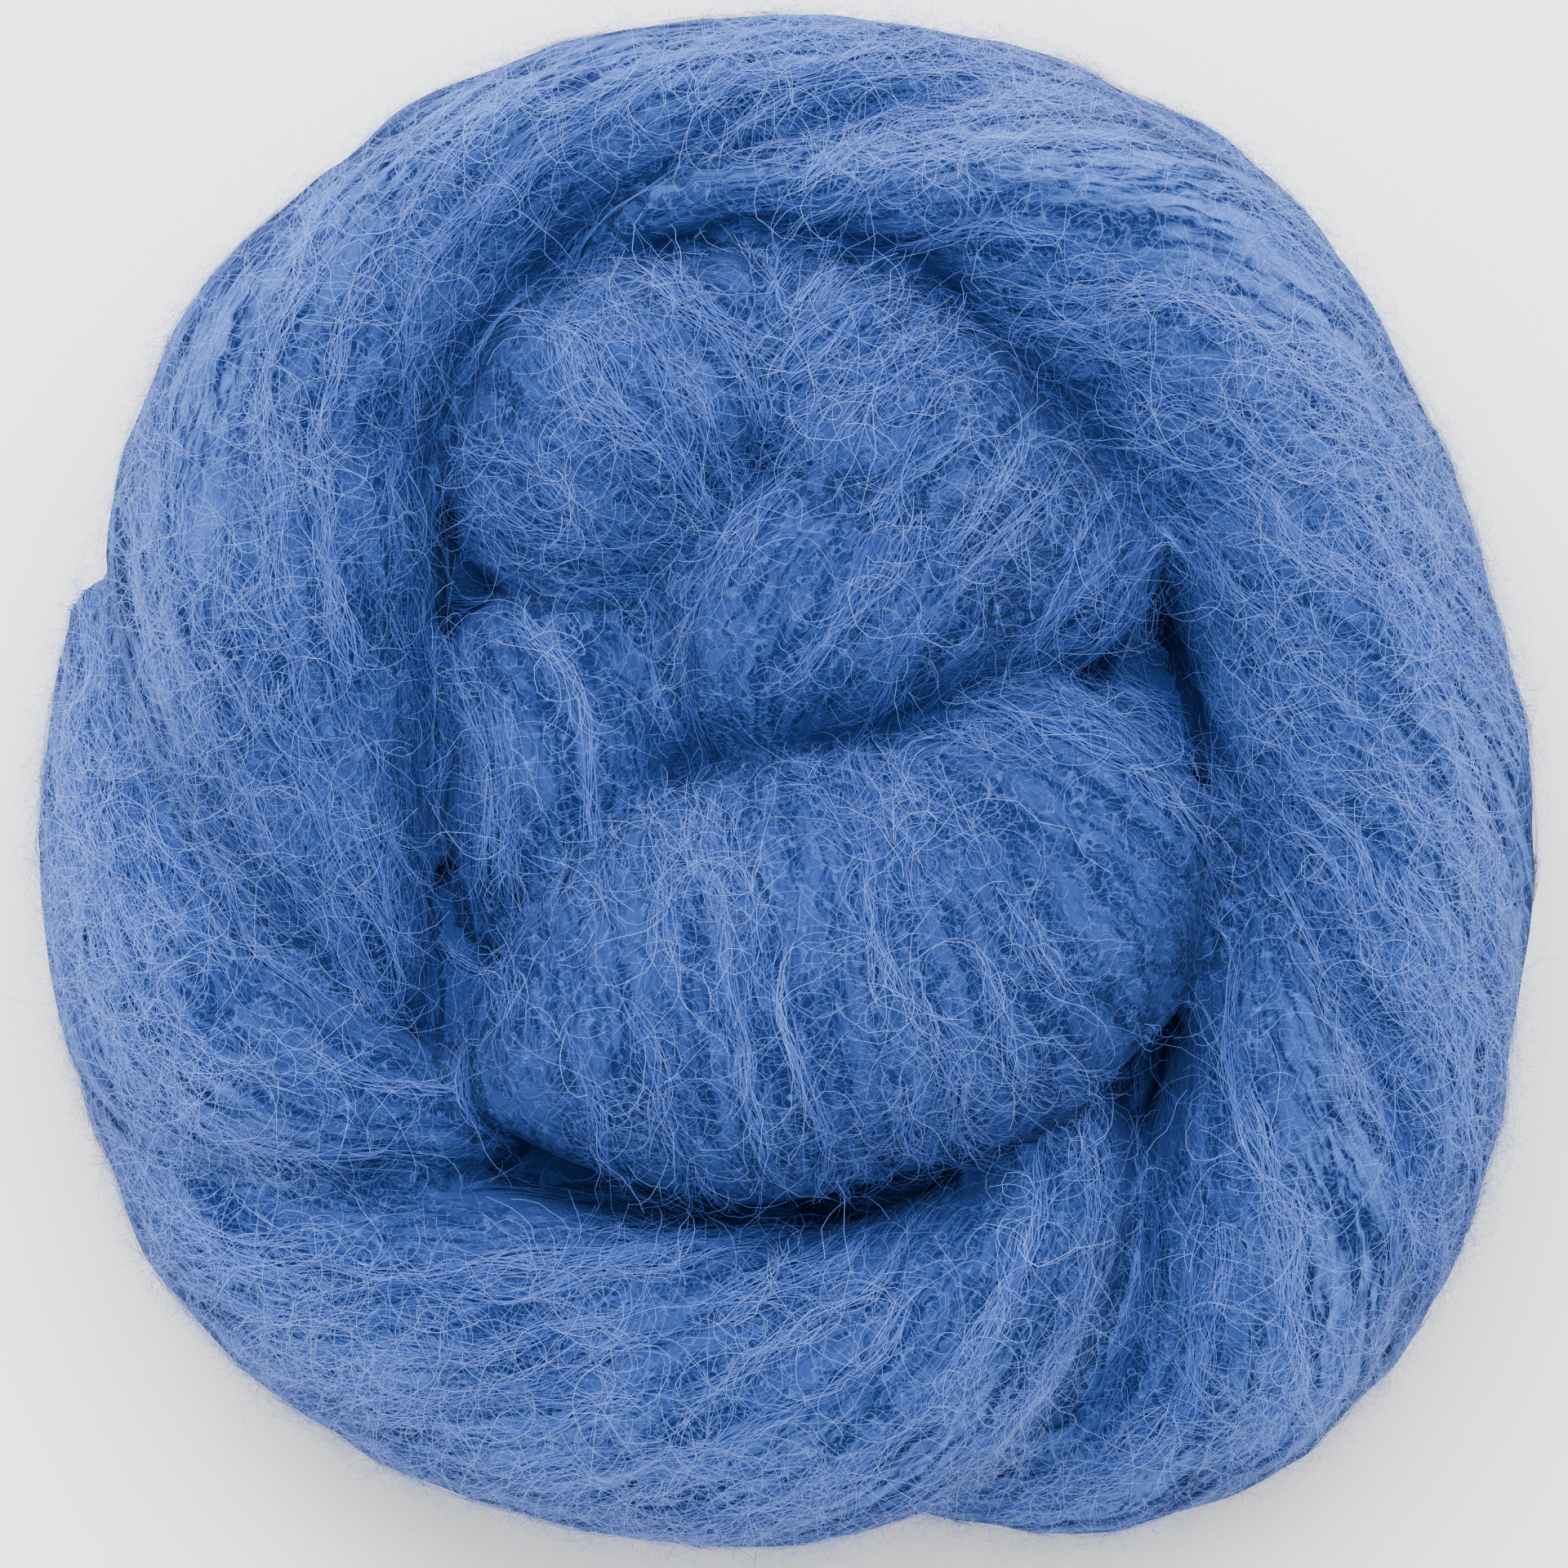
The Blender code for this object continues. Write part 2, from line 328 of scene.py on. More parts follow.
plies = [Ply(number, lay, table) for number, (lay, table) in enumerate(PLIES.values())]
tube_verts = []
tube_faces = []
for ply in plies:
    first = len(tube_verts)
    ring_places, ring_angles = np.meshgrid(ply.place, tube_angles, indexing="ij")
    tube_verts.extend(ply.points(ring_places, ring_angles).reshape(-1, 3))
    rings = len(ply.place)
    for ring in range(rings - 1):
        here = first + ring * SECTION_POINTS
        ahead = here + SECTION_POINTS
        for k in range(SECTION_POINTS):
            nxt = (k + 1) % SECTION_POINTS
            tube_faces.append((here + nxt, here + k, ahead + k, ahead + nxt))
    last = first + (rings - 1) * SECTION_POINTS
    tube_faces.append(tuple(range(first, first + SECTION_POINTS)))
    tube_faces.append(tuple(range(last + SECTION_POINTS - 1, last - 1, -1)))

felt = mesh_object("felted_hank", tube_verts, faces=tube_faces)
skin = felt.modifiers.new("One skin", "REMESH")
skin.mode = "VOXEL"
skin.voxel_size = SKIN_VOXEL * MM
skin.use_smooth_shade = True
soften = felt.modifiers.new("Soften", "SMOOTH")
soften.iterations = SMOOTHING_ROUNDS
fewer = felt.modifiers.new("Fewer faces", "DECIMATE")
fewer.ratio = FELT_KEPT_SHARE
plain_mesh(felt)


def uneven_loft(vertex):
    """How far the yarn's uneven loft lifts a vertex of the felt."""
    lumps = sum(high * noise.noise(vertex.co / (length * MM)) for length, high in LUMPS)
    return lumps * MM * vertex.normal


lifts = [uneven_loft(vertex) for vertex in felt.data.vertices]
for vertex, lift in zip(felt.data.vertices, lifts):
    vertex.co += lift
    vertex.co.z = max(vertex.co.z, 0.0)
felt.data.update()
surface = BVHTree.FromObject(felt, bpy.context.evaluated_depsgraph_get())

# The felt's own grain: for each point, how far it is across and along the fibres of its ply.
grain_of_tubes = np.concatenate([ply.grain() for ply in plies])
tube_tree = KDTree(len(tube_verts))
for i, place in enumerate(tube_verts):
    tube_tree.insert(place, i)
tube_tree.balance()
verts = np.empty(len(felt.data.vertices) * 3)
normals = np.empty(len(felt.data.vertices) * 3)
felt.data.vertices.foreach_get("co", verts)
felt.data.vertices.foreach_get("normal", normals)
verts = verts.reshape(-1, 3)
normals = normals.reshape(-1, 3)
grain = np.zeros_like(verts)
for i, place in enumerate(verts / MM):
    near = tube_tree.find_n(place, GRAIN_NEIGHBOURS)
    pattern = grain_of_tubes[near[0][1], 2]
    total = 0.0
    for _, index, gap in near:
        if grain_of_tubes[index, 2] == pattern:
            weight = 1 / (gap + GRAIN_BLEND)
            grain[i] += weight * grain_of_tubes[index]
            total += weight
    grain[i] /= total
layer = felt.data.attributes.new("grain", "FLOAT_VECTOR", "POINT")
layer.data.foreach_set("vector", grain.ravel())

# How open each point is: the share of the directions around it that no other ply closes off.
# Where it is low, in the folds, the colour is painted darker, as painted shade.
FOLD_REACH = 14.0  # mm
FOLD_RAYS = 14
RAY_START = 0.3  # mm off the skin
GOLDEN_ANGLE = 2.399963  # radians from one direction to the next
OPEN_SMOOTHING_ROUNDS = 3
UNSHADED_FROM = 0.18  # open share at which the painted fold shade starts to lift
UNSHADED_RAMP = 0.40
FUZZ_AND_RIM_LIGHT_START = 42.0  # mm from the coil's middle
FUZZ_AND_RIM_LIGHT_RAMP = 12.0  # mm over which it grows
FUZZ_AND_RIM_LIGHT_OUTWARDS = 1.4  # how soon it grows as the surface turns outwards
FUZZ_AND_RIM_LIGHT_UPRIGHT = 0.35  # share of it on an upright side
FUZZ_AND_RIM_LIGHT_UPWARDS = 1.6  # how soon the rest comes as the surface turns up
turn = np.arange(FOLD_RAYS) * GOLDEN_ANGLE
spread = (np.arange(FOLD_RAYS) + 0.5) / FOLD_RAYS
fan = [
    Vector((math.sqrt(k) * math.cos(a), math.sqrt(k) * math.sin(a), math.sqrt(1 - k)))
    for a, k in zip(turn, spread)
]
open_share = np.empty(len(verts))
for i, vertex in enumerate(felt.data.vertices):
    facing = vertex.normal.to_track_quat("Z", "Y")
    start = vertex.co + vertex.normal * RAY_START * MM
    free = sum(surface.ray_cast(start, facing @ way, FOLD_REACH * MM)[0] is None for way in fan)
    open_share[i] = free / FOLD_RAYS
felt_edges = np.array([edge.vertices[:] for edge in felt.data.edges])
for _ in range(OPEN_SMOOTHING_ROUNDS):
    total = open_share.copy()
    count = np.ones(len(verts))
    for here, there in ((0, 1), (1, 0)):
        np.add.at(total, felt_edges[:, here], open_share[felt_edges[:, there]])
        np.add.at(count, felt_edges[:, here], 1)
    open_share = total / count

# How unshaded each point is, from 0 in the depth of a fold, where the painted shade is deepest, to 1
# on the open surface, and how much fuzz and painted rim light it has: most on the shoulder of the
# coil that faces outwards.
brushed = np.clip((open_share - UNSHADED_FROM) / UNSHADED_RAMP, 0, 1)
reach = np.linalg.norm(verts[:, :2], axis=1)
outwards = np.sum(verts[:, :2] * normals[:, :2], axis=1) / reach
fuzz_and_rim_light = brushed * np.clip((reach / MM - FUZZ_AND_RIM_LIGHT_START) / FUZZ_AND_RIM_LIGHT_RAMP, 0, 1)
fuzz_and_rim_light *= np.clip(FUZZ_AND_RIM_LIGHT_OUTWARDS * outwards, 0, 1)
fuzz_and_rim_light *= np.clip(FUZZ_AND_RIM_LIGHT_UPRIGHT + FUZZ_AND_RIM_LIGHT_UPWARDS * normals[:, 2], 0, 1)
for label, values in (("brushed", brushed), ("fuzz_and_rim_light", fuzz_and_rim_light)):
    layer = felt.data.attributes.new(label, "FLOAT", "POINT")
    layer.data.foreach_set("value", values)
skin_of_faces = np.array([
    (brushed[list(face.vertices)].mean(), fuzz_and_rim_light[list(face.vertices)].mean())
    for face in felt.data.polygons
])
verts -= FELT_SHRINK * MM * normals
verts[:, 2] = np.maximum(verts[:, 2], FELT_SHRINK * MM)
felt.data.vertices.foreach_set("co", verts.ravel())
felt.data.update()


# The felt's colour: streaks and flecks along the grain, darkest between the strands as painted
# shade, hairs matted over them, painted rim light that makes the streaks of the shoulder paler, and
# painted shade in the folds, a deeper blue.
def matted_hairs_group():
    """Colour mask of fine winding hairs matted over one another: the level lines of a smooth
    noise, in four layers that are moved and turned against each other."""
    group = bpy.data.node_groups.new("Matted hairs", "ShaderNodeTree")
    group.interface.new_socket("Place", in_out="INPUT", socket_type="NodeSocketVector")
    group.interface.new_socket("Curl scale", in_out="INPUT", socket_type="NodeSocketFloat")
    group.interface.new_socket("Hair width", in_out="INPUT", socket_type="NodeSocketFloat")
    group.interface.new_socket("Hairs", in_out="OUTPUT", socket_type="NodeSocketFloat")
    new = group.nodes.new
    join = group.links.new
    start = new("NodeGroupInput")
    end = new("NodeGroupOutput")
    line_masks = []
    for shift, turn in ((0.0, 0.0), (3.1, 0.9), (7.7, 1.9), (12.3, 2.6)):
        moved = new("ShaderNodeMapping")
        moved.inputs["Location"].default_value = (shift, -shift, shift / 2)
        moved.inputs["Rotation"].default_value = (turn, turn / 2, turn)
        field = new("ShaderNodeTexNoise")
        field.inputs["Detail"].default_value = 1.0
        field.inputs["Roughness"].default_value = 0.35
        levels = new("ShaderNodeMath")
        levels.operation = "MULTIPLY"
        levels.inputs[1].default_value = 9.0
        saw = new("ShaderNodeMath")
        saw.operation = "PINGPONG"
        saw.inputs[1].default_value = 0.5
        line = new("ShaderNodeMapRange")
        line.interpolation_type = "SMOOTHSTEP"
        line.inputs["To Min"].default_value = 1.0
        line.inputs["To Max"].default_value = 0.0
        join(start.outputs["Place"], moved.inputs["Vector"])
        join(moved.outputs["Vector"], field.inputs["Vector"])
        join(start.outputs["Curl scale"], field.inputs["Scale"])
        join(field.outputs["Fac"], levels.inputs[0])
        join(levels.outputs["Value"], saw.inputs[0])
        join(saw.outputs["Value"], line.inputs["Value"])
        join(start.outputs["Hair width"], line.inputs["From Max"])
        line_masks.append(line.outputs["Result"])
    total = line_masks[0]
    for mask in line_masks[1:]:
        more = new("ShaderNodeMath")
        more.operation = "ADD"
        join(total, more.inputs[0])
        join(mask, more.inputs[1])
        total = more.outputs["Value"]
    share = new("ShaderNodeMath")
    share.operation = "MULTIPLY"
    share.inputs[1].default_value = 0.5
    share.use_clamp = True
    join(total, share.inputs[0])
    join(share.outputs["Value"], end.inputs["Hairs"])
    return group


def start_material(name, roughness, specular):
    """A new material with its shader, and the calls that add nodes to it and join them."""
    material = bpy.data.materials.new(name)
    material.use_nodes = True
    shader = material.node_tree.nodes["Principled BSDF"]
    shader.inputs["Roughness"].default_value = roughness
    shader.inputs["Specular IOR Level"].default_value = specular
    return material, shader, material.node_tree.nodes.new, material.node_tree.links.new


matted_hairs = matted_hairs_group()
felt_material, shader, new, join = start_material("felted yarn", roughness=1.0, specular=0.1)
grain_place = new("ShaderNodeAttribute")
grain_place.attribute_name = "grain"
coords = new("ShaderNodeTexCoord")
strand_place = new("ShaderNodeMapping")
strand_place.inputs["Scale"].default_value = (0.65, 0.09, 1.0)
strand_streaks = new("ShaderNodeTexNoise")
strand_streaks.inputs["Scale"].default_value = 1.0
strand_streaks.inputs["Detail"].default_value = 3.0
fleck_place = new("ShaderNodeMapping")
fleck_place.inputs["Scale"].default_value = (2.6, 0.4, 1.0)
flecks = new("ShaderNodeTexNoise")
flecks.inputs["Scale"].default_value = 1.0
flecks.inputs["Detail"].default_value = 3.0
flecks.inputs["Roughness"].default_value = 0.6
both = new("ShaderNodeMath")
both.operation = "ADD"
body_share = new("ShaderNodeMapRange")
body_share.inputs["From Min"].default_value = 0.88
body_share.inputs["From Max"].default_value = 1.14
# Painted shade: the darkest streaks, between the strands, are painted near-black navy.
body = new("ShaderNodeMix")
body.data_type = "RGBA"
body.inputs[6].default_value = FELT_GAP_SHADE
body.inputs[7].default_value = FELT_BLUE
join(grain_place.outputs["Vector"], strand_place.inputs["Vector"])
join(strand_place.outputs["Vector"], strand_streaks.inputs["Vector"])
join(grain_place.outputs["Vector"], fleck_place.inputs["Vector"])
join(fleck_place.outputs["Vector"], flecks.inputs["Vector"])
join(strand_streaks.outputs["Fac"], both.inputs[0])
join(flecks.outputs["Fac"], both.inputs[1])
join(both.outputs["Value"], body_share.inputs["Value"])
join(body_share.outputs["Result"], body.inputs[0])
brushed_here = new("ShaderNodeAttribute")
brushed_here.attribute_name = "brushed"
# Painted shade: where the skin is least open, in the folds, the felt is painted a deeper blue.
fold = new("ShaderNodeMix")
fold.data_type = "RGBA"
fold.inputs[6].default_value = FELT_FOLD_SHADE
join(brushed_here.outputs["Fac"], fold.inputs[0])
# Painted rim light: the streaks of the coil's outer shoulder are painted paler.
rim_light_here = new("ShaderNodeAttribute")
rim_light_here.attribute_name = "fuzz_and_rim_light"
rim_light_share = new("ShaderNodeMath")
rim_light_share.operation = "MULTIPLY"
rim_lit = new("ShaderNodeMix")
rim_lit.data_type = "RGBA"
rim_lit.inputs[7].default_value = FELT_RIM_LIGHT
join(rim_light_here.outputs["Fac"], rim_light_share.inputs[0])
join(body_share.outputs["Result"], rim_light_share.inputs[1])
join(rim_light_share.outputs["Value"], rim_lit.inputs[0])
hairs = new("ShaderNodeGroup")
hairs.node_tree = matted_hairs
hairs.inputs["Curl scale"].default_value = 330.0
hairs.inputs["Hair width"].default_value = 0.09
hair_share = new("ShaderNodeMath")
hair_share.operation = "MULTIPLY"
hair_share.inputs[1].default_value = 0.75
matted = new("ShaderNodeMix")
matted.data_type = "RGBA"
matted.inputs[7].default_value = FELT_HAIR
height = new("ShaderNodeMath")
height.operation = "MULTIPLY_ADD"
height.inputs[1].default_value = 0.4
relief = new("ShaderNodeBump")
relief.inputs["Strength"].default_value = 0.8
relief.inputs["Distance"].default_value = 0.0004
join(coords.outputs["Object"], hairs.inputs["Place"])
join(hairs.outputs["Hairs"], hair_share.inputs[0])
join(hair_share.outputs["Value"], matted.inputs[0])
join(body.outputs[2], matted.inputs[6])
join(matted.outputs[2], rim_lit.inputs[6])
join(rim_lit.outputs[2], fold.inputs[7])
join(fold.outputs[2], shader.inputs["Base Color"])
join(hairs.outputs["Hairs"], height.inputs[0])
join(both.outputs["Value"], height.inputs[2])
join(height.outputs["Value"], relief.inputs["Height"])
join(relief.outputs["Normal"], shader.inputs["Normal"])
felt.data.materials.clear()
felt.data.materials.append(felt_material)
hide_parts("skein")
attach(felt, "root")

# The strands of yarn. Each is a soft spun strand about 2 mm wide, brushed until it is almost felted
# to its neighbours, so it shows as a loose bundle of fibres that stands a little proud beside a
# groove, with its edges painted darker as painted shade towards the groove. They lie along the lay
# of each ply and dip under one another.
YARN_PITCH = 2.2  # mm of ply that one strand covers
YARN_LENGTH = (12.0, 38.0)  # mm that shows before a strand dips under the others
YARN_HALF_WIDTH = 0.65  # mm
YARN_RISE = 0.30  # mm that its middle stands above its edges
FIBRES = 13  # drawn for each strand
FIBRE_STEP = 1.7  # mm
FIBRE_THICKNESS = (0.03, 0.06)  # mm, half across
FIBRE_LIFT = (-0.20, 0.10)  # mm above the skin
FIBRE_WEAVE = 0.14  # mm up and down along a fibre
FIBRE_WEAVE_RATE = 0.9  # radians of that weave for each mm
FIBRE_STRAY = 0.28  # mm sideways along a fibre
FIBRE_STRAY_LENGTH = (7, 16)  # mm
FIBRE_LENGTH = (0.8, 1.0)  # of its strand's
FIBRE_END_DIP = 0.75  # mm
FIBRE_END_WIDTH = 0.5  # of the fibre's
WANDER = 0.22  # radians that a strand's direction drifts
WANDER_LENGTH = (9.0, 24.0)  # mm
DEEPEST_SHOWN = 2.2  # mm under the skin, past which a strand is hidden
PLY_END_MARGIN = 0.3  # mm with no strands
SHORTEST_RUN = 4  # points
LONGEST_STEP = 2.5  # of FIBRE_STEP, past which a fibre has jumped a fold and is left out
STRAND_TONE = (0.1, 0.8)
FIBRE_TONE = 0.2  # that a fibre differs from its strand
EDGE_SHADE = 0.65  # that the edge of a strand is darker
RIM_LIGHT_TONE = 0.45  # painted rim light: how much paler the coil's outer side is painted
FOLD_SHADE_TONE = 0.5  # share of the tone left in the folds, as painted shade
CELL_MARGINS = (0.1, 0.05)  # left round each ribbon in the baked picture, as shares of its cell
YARN_SEED = 11

random = np.random.default_rng(YARN_SEED)


def trace_strands(ply):
    """Fibres of the strands of one ply: their points as (fibre, point, xyz), which of these are
    used, and how far each fibre is from the middle of its strand, from -1 to 1."""
    girth = np.pi * (ply.across + ply.high)
    area = np.mean(girth) * ply.length
    strands = int(area / (YARN_PITCH * np.mean(YARN_LENGTH)))
    weight = np.cumsum(girth)

    def shared(values):
        return np.repeat(values, FIBRES)

    lengths = shared(random.uniform(*YARN_LENGTH, strands))
    lengths = lengths * random.uniform(*FIBRE_LENGTH, strands * FIBRES)
    place = shared(np.interp(random.uniform(0, weight[-1], strands), weight, ply.place))
    angle = shared(random.uniform(0, 2 * np.pi, strands))
    wander_length = shared(random.uniform(*WANDER_LENGTH, strands))
    wander_phase = shared(random.uniform(0, 2 * np.pi, strands))
    offset = np.tile(np.linspace(-1, 1, FIBRES), strands)
    stray_length = random.uniform(*FIBRE_STRAY_LENGTH, strands * FIBRES)
    stray_phase = random.uniform(0, 2 * np.pi, strands * FIBRES)
    paths = []
    used = []
    for step in range(int(YARN_LENGTH[1] / FIBRE_STEP) + 1):
        travelled = step * FIBRE_STEP
        lay = np.radians(np.interp(place / ply.length, (0, 1), ply.lay))
        lay += WANDER * np.sin(2 * np.pi * travelled / wander_length + wander_phase)
        across = ply.at(place, ply.across) * np.sin(angle)
        high = ply.at(place, ply.high) * np.cos(angle)
        radius = np.maximum(np.hypot(across, high), 1.0)
        stray = FIBRE_STRAY * np.sin(2 * np.pi * travelled / stray_length + stray_phase)
        beside = YARN_HALF_WIDTH * offset + stray
        turned = angle + np.cos(lay) * beside / radius
        paths.append(ply.points(place - np.sin(lay) * beside, turned))
        inside = (place > PLY_END_MARGIN) & (place < ply.length - PLY_END_MARGIN)
        used.append((travelled <= lengths) & inside)
        place = place + np.cos(lay) * FIBRE_STEP
        angle = angle + np.sin(lay) * FIBRE_STEP / radius
    return np.stack(paths, axis=1), np.stack(used, axis=1), offset


def on_the_skin(points, lift):
    """The points brought to the skin and lifted off it, their normals, which were near it, and how
    unshaded the skin is there and how much fuzz and painted rim light it has."""
    placed = np.empty_like(points)
    normal = np.empty_like(points)
    skin = np.empty((len(points), 2))
    near = np.empty(len(points), dtype=bool)
    for i, point in enumerate(points):
        foot, out, face, gap = surface.find_nearest(Vector(point) * MM)
        skin[i] = skin_of_faces[face]
        near[i] = gap < DEEPEST_SHOWN * MM
        placed[i] = foot / MM
        normal[i] = out
    return placed + normal * lift[:, None], normal, near, skin


class Paths:
    """Paths that ribbons of fibre follow, with which way they face and what the material reads."""

    def __init__(self):
        self.points = []
        self.facing = []
        self.thickness = []
        self.along = []
        self.number = []
        self.tone = []
        self.edges = []
        self.count = 0
        self.total = 0

    def add(self, points, facing, thickness, tone):
        size = len(points)
        self.points.append(points)
        self.facing.append(np.broadcast_to(facing, (size, 3)))
        self.thickness.append(thickness)
        self.along.append(np.linspace(0, 1, size))
        self.number.append(np.full(size, self.count))
        self.tone.append(tone)
        start = np.arange(self.total, self.total + size - 1)
        self.edges.append(np.stack((start, start + 1), axis=1))
        self.count += 1
        self.total += size


def ribbon_tree():
    """Geometry nodes that sweep a ribbon along each path, as wide and turned as the path says."""
    tree = bpy.data.node_groups.new("Fibre ribbons", "GeometryNodeTree")
    tree.interface.new_socket("Paths", in_out="INPUT", socket_type="NodeSocketGeometry")
    tree.interface.new_socket("Material", in_out="INPUT", socket_type="NodeSocketMaterial")
    tree.interface.new_socket("Ribbons", in_out="OUTPUT", socket_type="NodeSocketGeometry")
    new = tree.nodes.new
    join = tree.links.new
    start = new("NodeGroupInput")
    end = new("NodeGroupOutput")
    curves = new("GeometryNodeMeshToCurve")
    facing = new("GeometryNodeInputNamedAttribute")
    facing.data_type = "FLOAT_VECTOR"
    facing.inputs["Name"].default_value = "facing"
    turned = new("GeometryNodeSetCurveNormal")
    turned.mode = "FREE"
    thickness = new("GeometryNodeInputNamedAttribute")
    thickness.data_type = "FLOAT"
    thickness.inputs["Name"].default_value = "thickness"
    profile = new("GeometryNodeCurvePrimitiveLine")
    profile.inputs["Start"].default_value = (0, -1, 0)
    profile.inputs["End"].default_value = (0, 1, 0)
    parameter = new("GeometryNodeSplineParameter")
    keep_side = new("GeometryNodeStoreNamedAttribute")
    keep_side.data_type = "FLOAT"
    keep_side.domain = "POINT"
    keep_side.inputs["Name"].default_value = "side"
    sweep = new("GeometryNodeCurveToMesh")
    smooth = new("GeometryNodeSetShadeSmooth")
    real = new("GeometryNodeRealizeInstances")
    finish = new("GeometryNodeSetMaterial")
    join(start.outputs["Paths"], curves.inputs["Mesh"])
    join(curves.outputs["Curve"], turned.inputs["Curve"])
    join(facing.outputs["Attribute"], turned.inputs["Normal"])
    join(turned.outputs["Curve"], sweep.inputs["Curve"])
    join(profile.outputs["Curve"], keep_side.inputs["Geometry"])
    join(parameter.outputs["Factor"], keep_side.inputs["Value"])
    join(keep_side.outputs["Geometry"], sweep.inputs["Profile Curve"])
    join(thickness.outputs["Attribute"], sweep.inputs["Scale"])
    join(sweep.outputs["Mesh"], smooth.inputs["Geometry"])
    join(smooth.outputs["Geometry"], real.inputs["Geometry"])
    join(real.outputs["Geometry"], finish.inputs["Geometry"])
    join(start.outputs["Material"], finish.inputs["Material"])
    join(finish.outputs["Geometry"], end.inputs["Ribbons"])
    return tree


def ribbons(name, paths, tree, material):
    """The paths as a plain mesh of ribbons, each with its own cell in the baked picture."""
    edges = np.concatenate(paths.edges).tolist()
    made = mesh_object(name, np.concatenate(paths.points), edges=edges)
    for label, kind, field, values in (
        ("facing", "FLOAT_VECTOR", "vector", np.concatenate(paths.facing)),
        ("thickness", "FLOAT", "value", np.concatenate(paths.thickness) * MM),
        ("along", "FLOAT", "value", np.concatenate(paths.along)),
        ("tone", "FLOAT", "value", np.concatenate(paths.tone)),
        ("number", "INT", "value", np.concatenate(paths.number)),
    ):
        layer = made.data.attributes.new(label, kind, "POINT")
        layer.data.foreach_set(field, values.ravel())
    sweep = made.modifiers.new("Ribbons", "NODES")
    sweep.node_group = tree
    for item in tree.interface.items_tree:
        if item.item_type == "SOCKET" and item.name == "Material":
            sweep[item.identifier] = material
    plain_mesh(made)

    corners = np.empty(len(made.data.loops), dtype=int)
    made.data.loops.foreach_get("vertex_index", corners)
    kept = {}
    for label in ("number", "along", "side"):
        values = np.empty(len(made.data.vertices))
        made.data.attributes[label].data.foreach_get("value", values)
        kept[label] = values[corners]
    columns = math.ceil(math.sqrt(4 * paths.count))
    lines = math.ceil(paths.count / columns)
    across = kept["number"] % columns + CELL_MARGINS[0] + (1 - 2 * CELL_MARGINS[0]) * kept["side"]
    up = kept["number"] // columns + CELL_MARGINS[1] + (1 - 2 * CELL_MARGINS[1]) * kept["along"]
    cells = made.data.uv_layers.new(name="OFBake")
    cells.data.foreach_set("uv", np.stack((across / columns, up / lines), axis=1).ravel())
    for label in ("facing", "thickness", "along", "number", "side"):
        made.data.attributes.remove(made.data.attributes[label])
    return made


strand_sets = [Paths(), Paths()]
roots = {"point": [], "out": [], "along": [], "brushed": [], "fuzz_and_rim_light": []}
for ply in plies:
    paths, used, offset = trace_strands(ply)
    fibres, size = used.shape
    travelled = np.arange(size) * FIBRE_STEP
    weave = random.uniform(0, 2 * np.pi, fibres)[:, None] + travelled * FIBRE_WEAVE_RATE
    lift = random.uniform(*FIBRE_LIFT, fibres) + YARN_RISE * (1 - offset ** 2)
    lift = lift[:, None] + FIBRE_WEAVE * np.sin(weave)
    chosen = np.flatnonzero(used)
    found = on_the_skin(paths.reshape(-1, 3)[chosen], lift.ravel()[chosen])
    placed = np.zeros((fibres * size, 3))
    normals = np.zeros((fibres * size, 3))
    skin = np.zeros((fibres * size, 2))
    shown = np.zeros(fibres * size, dtype=bool)
    placed[chosen], normals[chosen], shown[chosen], skin[chosen] = found
    placed = placed.reshape(fibres, size, 3)
    normals = normals.reshape(fibres, size, 3)
    brushed, fuzz_and_rim_light = np.moveaxis(skin.reshape(fibres, size, 2), 2, 0)
    shown = shown.reshape(fibres, size)
    thickness = random.uniform(*FIBRE_THICKNESS, fibres)
    tones = np.repeat(random.uniform(*STRAND_TONE, fibres // FIBRES), FIBRES)
    tones = np.clip(tones + random.uniform(-FIBRE_TONE, FIBRE_TONE, fibres), 0, 1)
    tones = tones * (1 - EDGE_SHADE * offset ** 2)
    for k in range(fibres):
        cuts = np.flatnonzero(np.diff(np.concatenate(((0,), shown[k].astype(int), (0,)))))
        for low, high in zip(cuts[::2], cuts[1::2]):
            if high - low < SHORTEST_RUN:
                continue
            points = placed[k, low:high].copy()
            outwards = normals[k, low:high]
            steps = np.linalg.norm(np.diff(points, axis=0), axis=1)
            if steps.max() > LONGEST_STEP * FIBRE_STEP:
                continue
            points[0] -= outwards[0] * FIBRE_END_DIP
            points[-1] -= outwards[-1] * FIBRE_END_DIP
            points[:, 2] = np.maximum(points[:, 2], thickness[k])
            widths = np.full(len(points), thickness[k])
            widths[[0, -1]] *= FIBRE_END_WIDTH
            half = strand_sets[0] if points[len(points) // 2, 0] < 0 else strand_sets[1]
            # Painted light: the tone is made paler on the coil's outer shoulder, as painted rim
            # light, and darker in the folds, as painted shade.
            shade = tones[k] + RIM_LIGHT_TONE * fuzz_and_rim_light[k, low:high]
            shade *= FOLD_SHADE_TONE + (1 - FOLD_SHADE_TONE) * brushed[k, low:high]
            half.add(points, outwards, widths, shade)
            ahead = points[2:] - points[:-2]
            roots["point"].append(points[1:-1])
            roots["out"].append(outwards[1:-1])
            roots["along"].append(ahead / np.linalg.norm(ahead, axis=1)[:, None])
            roots["fuzz_and_rim_light"].append(fuzz_and_rim_light[k, low + 1:high - 1])
            roots["brushed"].append(brushed[k, low + 1:high - 1])
roots = {label: np.concatenate(values) for label, values in roots.items()}

# The strands' colour: each fibre's own tone, which also carries painted rim light on the coil's
# outer side and painted shade in the folds, with finer fibres and broad patches over it.
STRAND_DEEP = (0.012, 0.030, 0.150, 1.0)
STRAND_LIGHT = (0.053, 0.112, 0.435, 1.0)

